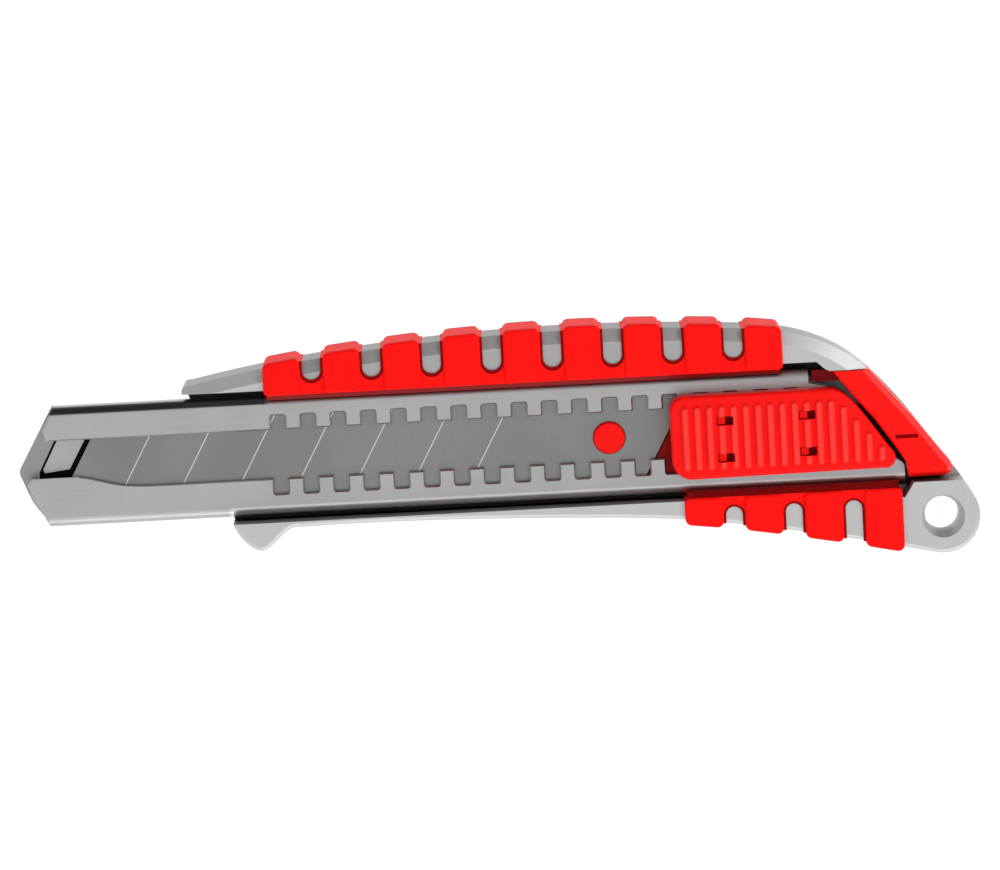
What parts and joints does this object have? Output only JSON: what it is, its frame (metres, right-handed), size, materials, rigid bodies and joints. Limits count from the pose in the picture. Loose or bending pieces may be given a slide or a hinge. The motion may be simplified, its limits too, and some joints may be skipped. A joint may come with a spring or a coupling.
{
  "type": "utility knife",
  "caption": "Snap-off blade utility knife with a die-cast handle, ribbed grips, notched blade channel, auto-lock thumb pad and tail cap.",
  "frame": {"origin": "under the middle of the whole knife, on the plane of its back face", "axes": "+X from the blade's tip to the lanyard ring, +Y towards the spine, +Z out of the face with the thumb pad"},
  "size_m": [0.1624, 0.0419, 0.0158],
  "materials": {
    "housing_metal": "silver paint over die-cast zinc, satin",
    "channel_steel": "satin stainless sheet",
    "blade_steel": "ground carbon steel, satin",
    "rivet_steel": "plain steel",
    "spring_steel": "spring steel strip",
    "grip_rubber": "soft moulded rubber, semi-matte",
    "cap_plastic": "moulded plastic, semi-gloss",
    "pad_plastic": "moulded plastic, semi-gloss",
    "carrier_plastic": "moulded plastic, semi-matte"
  },
  "bodies": {
    "handle": {"housing": "housing_metal", "blade_channel": "channel_steel", "channel_rivets": "rivet_steel", "upper_grip": "grip_rubber", "lower_grip": "grip_rubber"},
    "carriage": {"blade": "blade_steel", "blade_carrier": "carrier_plastic", "spring_rivet": "rivet_steel"},
    "lock": {"lock_spring": "spring_steel"},
    "pad": {"thumb_pad": "pad_plastic"},
    "cap": {"tail_cap": "cap_plastic"}
  },
  "joints": [
    {"name": "blade_slide", "type": "slide", "parent": "handle", "child": "carriage", "axis": [-1, 0, 0], "range_m": [0, 0.0768]},
    {"name": "pad_shift", "type": "slide", "parent": "carriage", "child": "pad", "axis": [-1, 0, 0], "range_m": [0, 0.0012]},
    {"name": "lock_lift", "type": "hinge", "parent": "carriage", "child": "lock", "pos_m": [0.053, 0.0012, 0.0086], "axis": [0, 1, 0], "range_deg": [0, 4.01]},
    {"name": "cap_pull", "type": "slide", "parent": "handle", "child": "cap", "axis": [1, 0, 0], "range_m": [0, 0.025]}
  ],
  "couplings": [
    {"joint": "lock_lift", "follows": "pad_shift", "rad_per_m": 58.3}
  ]
}
